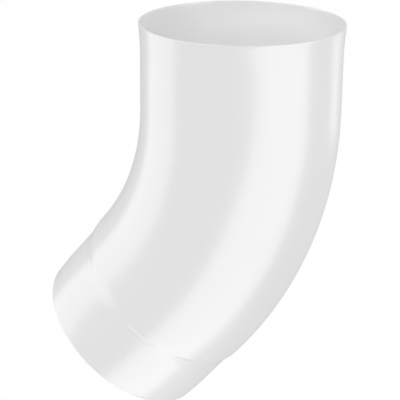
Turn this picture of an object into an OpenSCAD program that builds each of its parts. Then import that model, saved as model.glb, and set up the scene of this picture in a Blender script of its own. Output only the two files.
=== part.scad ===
// Round downspout elbow, bent and swaged from one thin steel tube.
// The inlet socket stands up along +Z, with the origin on its axis where the straight collar
// meets the bend. The bend turns down towards -X and ends in a reduced spigot.

/* [Tube] */
// Outside diameter of the tube along the bend
tube_d = 100; // [60:1:160]
// Thickness of the sheet, coating included
wall = 0.7; // [0.4:0.1:2]

/* [Bend] */
// Angle between the inlet and the outlet
bend_angle = 40; // [15:1:80]
// Radius of the bend, at the tube's centreline
bend_r = 152; // [100:1:300]

/* [Inlet socket] */
// Straight length of the collar, up to its mouth
inlet_l = 44; // [30:1:90]
// How far the mouth opens out beyond the tube's own radius
mouth_flare = 1; // [0.2:0.1:2]
// Length over which the mouth opens out
mouth_l = 18; // [6:1:24]

/* [Outlet spigot] */
// Straight length beyond the bend, with the swaged step
outlet_l = 43.5; // [34:0.5:90]
// How far the bend's section runs on before the step
step_lead = 1.5; // [0.5:0.5:6]
// Length of the swaged step, along the axis
step_l = 11.5; // [4:0.5:16]
// Drop in radius at the step
step_drop = 1.25; // [0.6:0.05:4]
// Length of the tapered nose, at the outlet's end
nose_l = 10; // [4:1:12]
// Drop in radius along the nose
nose_drop = 0.5; // [0.1:0.1:1]

/* [Creases] */
// Where each crease lies around the step, in degrees from the inner side of the bend
crease_at = [0, 45, 90, 135, 180, 227, 259, 316]; // [0:1:359]
// Length of each crease, round the tube
crease_l = 12; // [4:1:18]
// Depth of each crease
crease_depth = 0.25; // [0.1:0.05:0.4]

/* [Hidden] */
$fn = 128;
tube_r = tube_d / 2;
spigot_r = tube_r - step_drop;
step_end = step_lead + step_l;
nose_start = outlet_l - nose_l;
curve_steps = 12; // straight facets along each curved stretch of a profile
tuck = 0.5; // how far the outlet's wall starts up inside the bend's own wall
tuck_gap = 0.05; // its radius is this much less there, so that no two faces coincide
crease_r = 1.2; // radius of the groove that a crease leaves
crease_arc = crease_l / tube_r * 180 / PI; // the angle that a crease covers

// Rises from 0 to 1 with level ends, as metal drawn over a rounded shoulder does
function s_curve(t) = t * t * (3 - 2 * t);

// Outer edge of the collar from the bend up to the mouth, as [radius, height]
function inlet_edge() = concat(
    [[tube_r, 0]],
    [for (i = [0 : curve_steps])
        let (t = i / curve_steps)
        [tube_r + mouth_flare * t * t, inlet_l - mouth_l * (1 - t)]]
);

// Outer edge of the outlet from the bend down to its end, as [radius, height]
function outlet_edge() = concat(
    [[tube_r - tuck_gap, tuck]],
    [for (i = [0 : curve_steps])
        let (t = i / curve_steps)
        [tube_r - tuck_gap - (step_drop - tuck_gap) * s_curve(t), -step_lead - step_l * t]],
    [[spigot_r, -nose_start], [spigot_r - nose_drop, -outlet_l]]
);

// A tube wall turned about Z: the edge outside, and the same edge one wall further in
module turned_wall(edge) {
    last = len(edge) - 1;
    rotate_extrude()
        polygon(concat(edge, [for (i = [last : -1 : 0]) edge[i] - [wall, 0]]));
}

// Cross-section of the tube
module tube_section() {
    difference() {
        circle(r = tube_r);
        circle(r = tube_r - wall);
    }
}

// The bent stretch, from the origin down to the outlet
module bent_tube() {
    translate([-bend_r, 0, 0])
        rotate([-90, 0, 0])
            rotate_extrude(angle = bend_angle)
                translate([bend_r, 0])
                    tube_section();
}

// Carries its children from the origin round to the bend's lower end
module at_outlet() {
    translate([-bend_r, 0, 0])
        rotate([0, bend_angle, 0])
            translate([bend_r, 0, 0])
                children();
}

// One short groove for each crease, running round the tube half way down the step
module creases() {
    for (turn = crease_at)
        rotate([0, 0, 180 - turn - crease_arc / 2])
            rotate_extrude(angle = crease_arc)
                translate([tube_r - step_drop / 2 + crease_r - crease_depth, -step_lead - step_l / 2])
                    circle(r = crease_r);
}

// The swaged outlet, with the creases pressed into its step
module outlet() {
    difference() {
        turned_wall(outlet_edge());
        creases();
    }
}

module elbow() {
    color("white") {
        turned_wall(inlet_edge());
        bent_tube();
        at_outlet() outlet();
    }
}

elbow();
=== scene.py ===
import math

import bmesh
import bpy
from mathutils import Matrix, Vector


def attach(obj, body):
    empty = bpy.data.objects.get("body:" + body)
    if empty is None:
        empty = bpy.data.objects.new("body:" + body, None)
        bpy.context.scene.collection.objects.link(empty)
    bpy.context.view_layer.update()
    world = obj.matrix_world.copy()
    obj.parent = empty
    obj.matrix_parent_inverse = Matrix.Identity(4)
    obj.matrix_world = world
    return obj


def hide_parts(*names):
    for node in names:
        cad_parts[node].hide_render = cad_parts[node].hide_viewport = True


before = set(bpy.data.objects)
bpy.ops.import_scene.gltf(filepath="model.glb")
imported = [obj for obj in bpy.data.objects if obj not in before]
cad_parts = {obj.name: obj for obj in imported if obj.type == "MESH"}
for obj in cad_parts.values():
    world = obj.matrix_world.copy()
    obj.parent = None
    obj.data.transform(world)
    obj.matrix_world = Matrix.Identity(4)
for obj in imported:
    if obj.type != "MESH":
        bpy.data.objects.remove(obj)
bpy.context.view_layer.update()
mm = 0.001
print("frame loaded")


def smoothStep(t):
    t = min(max(t, 0.0), 1.0)
    return t * t * (3 - 2 * t)


# the elbow: one swaged tube, the same sizes as the solid model, in millimetres
elbow = {
    "tubeR": 50.0,
    "wall": 0.7,
    "bendAngle": 40.0,
    "bendR": 152.0,
    "inletLength": 44.0,
    "mouthFlare": 1.0,
    "mouthLength": 18.0,
    "outletLength": 43.5,
    "stepLead": 1.5,
    "stepLength": 11.5,
    "stepDrop": 1.25,
    "noseLength": 10.0,
    "noseDrop": 0.5,
    "segments": 240,
    "bendSteps": 64,
    "collarRings": (4, 9, 14, 19, 23, 26),   # heights of the rings up to where the mouth opens out
    "mouthRings": 14,
    "stepRings": 29,                         # close rings over the step, for the creases
    "stepRingGap": 0.5,
    "spigotRings": (16, 18, 21, 24, 27, 30, 32.5, 33.5, 34.5, 37, 40, 42, 43.5),
    "mergeGap": 0.001,
    "edgeRadius": 0.16,
    "edgeSegments": 2,
    "edgeAngle": 50.0,
}

bendAngle = math.radians(elbow["bendAngle"])
outletTurn = Matrix.Rotation(bendAngle, 3, "Y")
outletAxis = outletTurn @ Vector((0, 0, -1))
outletStart = Vector((
    elbow["bendR"] * (math.cos(bendAngle) - 1), 0, -elbow["bendR"] * math.sin(bendAngle)))


def collarRadius(height):
    t = max(0.0, 1 - (elbow["inletLength"] - height) / elbow["mouthLength"])
    return elbow["tubeR"] + elbow["mouthFlare"] * t * t


def outletRadius(distance):
    t = smoothStep((distance - elbow["stepLead"]) / elbow["stepLength"])
    nose = max(0.0, 1 - (elbow["outletLength"] - distance) / elbow["noseLength"])
    return elbow["tubeR"] - elbow["stepDrop"] * t - elbow["noseDrop"] * nose


# creases that the swaging jaws leave on the step: the wall rises a little, then drops sharply
creases = {
    "reach": (0.5, 17.0),   # how far down the outlet they begin and end
    "taper": 0.5,           # how much wider one end is
    # degrees round from the inner side, distance down, half length, depth, width
    "marks": (
        (0, 6.9, 8.5, 0.55, 1.6),
        (45, 6.9, 8.5, 0.55, 1.6),
        (90, 6.9, 8.5, 0.55, 1.6),
        (135, 6.9, 8.5, 0.55, 1.6),
        (180, 6.9, 8.5, 0.55, 1.6),
        (225.5, 6.6, 6.8, 0.5, 1.6),
        (257, 7.6, 13.5, 1.1, 1.75),
        (314, 6.9, 6.0, 0.4, 1.6),
    ),
}


def creaseLift(angle, distance):
    lift = 0.0
    for at, centre, halfLength, depth, width in creases["marks"]:
        turn = (angle - math.radians(at) + math.pi) % (2 * math.pi) - math.pi
        along = turn * elbow["tubeR"] / halfLength
        if abs(along) < 1:
            across = (distance - centre) / (width * (1 - creases["taper"] * along))
            lift -= depth * (1 - along * along) ** 2 * across * math.exp(-across * across)
    return lift


def extrudeRing(bm, edges, offset):
    made = bmesh.ops.extrude_edge_only(bm, edges=edges)["geom"]
    verts = [g for g in made if isinstance(g, bmesh.types.BMVert)]
    bmesh.ops.translate(bm, verts=verts, vec=offset)
    return [g for g in made if isinstance(g, bmesh.types.BMEdge)], verts


def makeElbow():
    bm = bmesh.new()
    bmesh.ops.create_circle(bm, segments=elbow["segments"], radius=elbow["tubeR"])
    start = bm.edges[:]

    # the bend, spun round the pivot on the inner side
    spun = bmesh.ops.spin(
        bm, geom=start, cent=(-elbow["bendR"], 0, 0), axis=(0, 1, 0),
        angle=bendAngle, steps=elbow["bendSteps"])["geom_last"]
    low = [g for g in spun if isinstance(g, bmesh.types.BMEdge)]

    # the collar, up to its open mouth
    high, height, radius = start, 0.0, elbow["tubeR"]
    flareStart = elbow["inletLength"] - elbow["mouthLength"]
    collarStops = list(elbow["collarRings"]) + [
        flareStart + elbow["mouthLength"] * i / elbow["mouthRings"]
        for i in range(1, elbow["mouthRings"] + 1)]
    for stop in collarStops:
        high, verts = extrudeRing(bm, high, (0, 0, stop - height))
        grow = collarRadius(stop) / radius
        bmesh.ops.scale(bm, vec=(grow, grow, 1), verts=verts)
        height, radius = stop, collarRadius(stop)

    # the outlet: a short full-size stretch, the step, the spigot and its nose
    distance, radius = 0.0, elbow["tubeR"]
    outletStops = [elbow["stepRingGap"] * i for i in range(1, elbow["stepRings"] + 1)]
    outletStops += elbow["spigotRings"]
    toOutlet = Matrix.Translation(outletStart) @ outletTurn.to_4x4()
    for stop in outletStops:
        low, verts = extrudeRing(bm, low, outletAxis * (stop - distance))
        grow = outletRadius(stop) / radius
        space = (toOutlet @ Matrix.Translation((0, 0, -stop))).inverted()
        bmesh.ops.scale(bm, vec=(grow, grow, 1), verts=verts, space=space)
        distance, radius = stop, outletRadius(stop)

    # press the creases into the step
    back = toOutlet.inverted()
    first, last = creases["reach"]
    for v in bm.verts:
        local = back @ v.co
        if first < -local.z < last:
            lift = creaseLift(math.atan2(local.y, -local.x), -local.z)
            if lift:
                outward = outletTurn @ Vector((local.x, local.y, 0)).normalized()
                bmesh.ops.translate(bm, verts=[v], vec=outward * lift)

    bmesh.ops.remove_doubles(bm, verts=bm.verts, dist=elbow["mergeGap"])
    bmesh.ops.recalc_face_normals(bm, faces=bm.faces)
    bmesh.ops.scale(bm, vec=(mm, mm, mm), verts=bm.verts)
    print("elbow shell", len(bm.faces), "faces")
    mesh = bpy.data.meshes.new("paintedElbow")
    bm.to_mesh(mesh)
    bm.free()
    for p in mesh.polygons:
        p.use_smooth = True
    shell = bpy.data.objects.new("paintedElbow", mesh)
    bpy.context.scene.collection.objects.link(shell)

    sheet = shell.modifiers.new("sheet", "SOLIDIFY")
    sheet.thickness = elbow["wall"] * mm
    sheet.offset = -1
    sheet.use_even_offset = True
    edge = shell.modifiers.new("edge", "BEVEL")
    edge.width = elbow["edgeRadius"] * mm
    edge.segments = elbow["edgeSegments"]
    edge.limit_method = "ANGLE"
    edge.angle_limit = math.radians(elbow["edgeAngle"])
    return shell


# the finish: a gloss white powder coat
powderCoat = {
    "toneScale": 40,
    "tones": (0.848, 0.855),
    "glossScale": 110,
    "roughness": (0.235, 0.25),
    "peelScale": 700,
    "peelStrength": 0.05,
    "peelHeight": 0.00005,
    "noiseDetail": 2,
    "noiseRoughness": 0.5,
    "noiseRange": (0.3, 0.7),   # where most of a noise's values lie
    "ior": 1.7,
}


def makeCoat():
    coat = bpy.data.materials.new("whitePowderCoat")
    coat.use_nodes = True
    tree = coat.node_tree
    tree.nodes.clear()
    new = tree.nodes.new
    link = tree.links.new
    out = new("ShaderNodeOutputMaterial")
    shader = new("ShaderNodeBsdfPrincipled")
    link(shader.outputs["BSDF"], out.inputs["Surface"])
    place = new("ShaderNodeTexCoord").outputs["Object"]

    def noise(scale):
        n = new("ShaderNodeTexNoise")
        n.inputs["Scale"].default_value = scale
        n.inputs["Detail"].default_value = powderCoat["noiseDetail"]
        n.inputs["Roughness"].default_value = powderCoat["noiseRoughness"]
        link(place, n.inputs["Vector"])
        return n.outputs["Fac"]

    def spread(value, low, high):
        m = new("ShaderNodeMapRange")
        m.inputs["From Min"].default_value = powderCoat["noiseRange"][0]
        m.inputs["From Max"].default_value = powderCoat["noiseRange"][1]
        m.inputs["To Min"].default_value = low
        m.inputs["To Max"].default_value = high
        link(value, m.inputs["Value"])
        return m.outputs["Result"]

    # faint unevenness in the white, a few centimetres across
    tone = new("ShaderNodeValToRGB")
    for element, grey in zip(tone.color_ramp.elements, powderCoat["tones"]):
        element.color = (grey, grey, grey, 1)
    link(spread(noise(powderCoat["toneScale"]), 0, 1), tone.inputs["Fac"])
    link(tone.outputs["Color"], shader.inputs["Base Color"])

    # powder coat flows out to a faint orange peel
    gloss = spread(noise(powderCoat["glossScale"]), *powderCoat["roughness"])
    link(gloss, shader.inputs["Roughness"])
    peel = new("ShaderNodeBump")
    peel.inputs["Strength"].default_value = powderCoat["peelStrength"]
    peel.inputs["Distance"].default_value = powderCoat["peelHeight"]
    link(noise(powderCoat["peelScale"]), peel.inputs["Height"])
    link(peel.outputs["Normal"], shader.inputs["Normal"])
    shader.inputs["Metallic"].default_value = 0.0
    shader.inputs["IOR"].default_value = powderCoat["ior"]
    return coat


piece = makeElbow()
piece.data.materials.append(makeCoat())
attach(piece, "root")
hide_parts("elbow")
print("elbow made")


# the camera stands where the photograph was taken from, in degrees and millimetres
photo = {
    "azimuth": 22.92,
    "elevation": 19.39,
    "roll": 0.62,
    "distance": 766.98,
    "look": (-21.46, 0.0, -51.4),
    "focal": 1489.26,   # in pixels of a 400 pixel frame
    "frame": 400,
    "sensor": 36,
    "clipStart": 0.01,  # in metres
}


def makeCamera():
    az, el, roll = (math.radians(photo[k]) for k in ("azimuth", "elevation", "roll"))
    back = Vector((math.sin(az) * math.cos(el), -math.cos(az) * math.cos(el), math.sin(el)))
    level = Vector((math.cos(az), math.sin(az), 0))
    rise = back.cross(level)
    right = math.cos(roll) * level + math.sin(roll) * rise
    up = -math.sin(roll) * level + math.cos(roll) * rise
    lens = bpy.data.cameras.new("photoCamera")
    lens.sensor_width = photo["sensor"]
    lens.sensor_fit = "HORIZONTAL"
    lens.lens = photo["focal"] / photo["frame"] * photo["sensor"]
    lens.clip_start = photo["clipStart"]
    cam = bpy.data.objects.new("photoCamera", lens)
    place = (Vector(photo["look"]) + photo["distance"] * back) * mm
    turn = Matrix((right, up, back)).transposed().to_4x4()
    cam.matrix_world = Matrix.Translation(place) @ turn
    bpy.context.scene.collection.objects.link(cam)
    bpy.context.scene.camera = cam


makeCamera()
print("camera set")


# a pale floor well below, as the elbow hangs by its socket, and the light of the room
room = {
    "floorSize": 16.0,
    "floorDrop": 1.0,
    "floorTone": 0.99,
    "floorGlow": 0.045,
    "backdrop": 0.99,
    "lightAbove": 0.96,
    "lightBelow": 0.82,
    "lightChange": (-0.3, 0.3),
    "mirrored": 0.72,             # what the gloss mirrors away from the panels
    "mirroredDark": 0.5,          # and on the side that has no lamp
    "darkSide": (-0.85, 0.53, 0.0),
    "darkChange": (0.3, 0.9),
    "mirroredFloor": 0.45,        # added straight below
    "floorChange": (0.8, 1.0),
}


def makeFloor():
    bm = bmesh.new()
    bmesh.ops.create_grid(bm, x_segments=1, y_segments=1, size=room["floorSize"] / 2)
    bmesh.ops.translate(bm, verts=bm.verts, vec=(0, 0, -room["floorDrop"]))
    mesh = bpy.data.meshes.new("floor")
    bm.to_mesh(mesh)
    bm.free()
    paint = bpy.data.materials.new("paleFloor")
    paint.use_nodes = True
    shader = paint.node_tree.nodes["Principled BSDF"]
    shader.inputs["Base Color"].default_value = (room["floorTone"],) * 3 + (1,)
    shader.inputs["Roughness"].default_value = 1.0
    shader.inputs["Specular IOR Level"].default_value = 0.0
    shader.inputs["Emission Color"].default_value = (1, 1, 1, 1)
    shader.inputs["Emission Strength"].default_value = room["floorGlow"]
    mesh.materials.append(paint)
    floor = bpy.data.objects.new("floor", mesh)
    floor.visible_glossy = False   # the gloss mirrors the room and the panels instead
    floor.visible_diffuse = False
    floor.visible_shadow = False
    bpy.context.scene.collection.objects.link(floor)


def makeRoom():
    world = bpy.data.worlds.new("room")
    world.use_nodes = True
    tree = world.node_tree
    tree.nodes.clear()
    new = tree.nodes.new
    link = tree.links.new
    place = new("ShaderNodeTexCoord").outputs["Generated"]

    def whiteLight():
        light = new("ShaderNodeBackground")
        light.inputs["Color"].default_value = (1, 1, 1, 1)
        return light

    # light that changes from start to end as the direction turns towards an axis
    def glow(towards, change, start, end):
        facing = new("ShaderNodeVectorMath")
        facing.operation = "DOT_PRODUCT"
        link(place, facing.inputs[0])
        facing.inputs[1].default_value = Vector(towards).normalized()
        fall = new("ShaderNodeMapRange")
        fall.interpolation_type = "SMOOTHSTEP"
        fall.inputs["From Min"].default_value = change[0]
        fall.inputs["From Max"].default_value = change[1]
        fall.inputs["To Min"].default_value = start
        fall.inputs["To Max"].default_value = end
        link(facing.outputs["Value"], fall.inputs["Value"])
        light = whiteLight()
        link(fall.outputs["Result"], light.inputs["Strength"])
        return light.outputs["Background"]

    ambient = glow((0, 0, 1), room["lightChange"], room["lightBelow"], room["lightAbove"])
    sides = glow(room["darkSide"], room["darkChange"], room["mirrored"], room["mirroredDark"])
    ground = glow((0, 0, -1), room["floorChange"], 0.0, room["mirroredFloor"])
    reflected = new("ShaderNodeAddShader")
    link(sides, reflected.inputs[0])
    link(ground, reflected.inputs[1])
    white = whiteLight()
    white.inputs["Strength"].default_value = room["backdrop"]

    # the gloss mirrors one room, the rest is lit by another, and the camera sees plain white
    rays = new("ShaderNodeLightPath")
    mirrored = new("ShaderNodeMixShader")
    link(rays.outputs["Is Glossy Ray"], mirrored.inputs["Fac"])
    link(ambient, mirrored.inputs[1])
    link(reflected.outputs["Shader"], mirrored.inputs[2])
    backdrop = new("ShaderNodeMixShader")
    link(rays.outputs["Is Camera Ray"], backdrop.inputs["Fac"])
    link(mirrored.outputs["Shader"], backdrop.inputs[1])
    link(white.outputs["Background"], backdrop.inputs[2])
    out = new("ShaderNodeOutputWorld")
    link(backdrop.outputs["Shader"], out.inputs["Surface"])
    bpy.context.scene.world = world


# large soft panels that the gloss mirrors, in metres: where each stands as seen from
# the elbow, which way its length runs, and how bright it is
panels = {
    "centre": (-0.02, 0.0, -0.05),
    "distance": 1.5,
    "rightPanel": {
        "towards": (0.720, -0.393, -0.572), "along": (0.67, 0.18, 0.72),
        "width": 1.74, "length": 6.0, "radiance": 1.97},
    "leftPanel": {
        "towards": (-0.93, -0.12, -0.35), "along": (0.05, -0.2, 1),
        "width": 1.3, "length": 3.6, "radiance": 1.39},
    "rimPanel": {
        "towards": (0.5, 0.866, -0.2), "along": (0, 0, 1),
        "width": 0.5, "length": 0.3, "radiance": 0.85},
}


def makePanel(name):
    p = panels[name]
    away = Vector(p["towards"]).normalized()
    along = Vector(p["along"])
    along = (along - along.dot(away) * away).normalized()
    side = along.cross(away)
    data = bpy.data.lights.new(name, "AREA")
    data.shape = "RECTANGLE"
    data.size, data.size_y = p["width"], p["length"]
    data.energy = p["radiance"] * math.pi * p["width"] * p["length"]
    lamp = bpy.data.objects.new(name, data)
    place = Vector(panels["centre"]) + away * panels["distance"]
    turn = Matrix((side, along, away)).transposed().to_4x4()
    lamp.matrix_world = Matrix.Translation(place) @ turn
    lamp.visible_diffuse = False
    lamp.visible_camera = False
    bpy.context.scene.collection.objects.link(lamp)


# a small lamp that shines down into the mouth, for its inside alone, in metres, degrees and watts
mouthLamp = {
    "place": (-0.005, -0.288, 1.0),
    "cone": 5.5,
    "blend": 0.1,
    "radius": 0.003,
    "power": 21,
}


def makeMouthLamp():
    data = bpy.data.lights.new("mouthLamp", "SPOT")
    data.spot_size = math.radians(mouthLamp["cone"])
    data.spot_blend = mouthLamp["blend"]
    data.shadow_soft_size = mouthLamp["radius"]
    data.energy = mouthLamp["power"]
    lamp = bpy.data.objects.new("mouthLamp", data)
    place = Vector(mouthLamp["place"])
    mouth = Vector((0, 0, elbow["inletLength"] * mm))
    turn = (place - mouth).to_track_quat("Z", "Y").to_matrix().to_4x4()
    lamp.matrix_world = Matrix.Translation(place) @ turn
    lamp.visible_glossy = False
    lamp.visible_camera = False
    bpy.context.scene.collection.objects.link(lamp)


makeFloor()
makeRoom()
for name in ("rightPanel", "leftPanel", "rimPanel"):
    makePanel(name)
makeMouthLamp()
bpy.context.scene.view_settings.view_transform = "Standard"
print("stage and lights set")
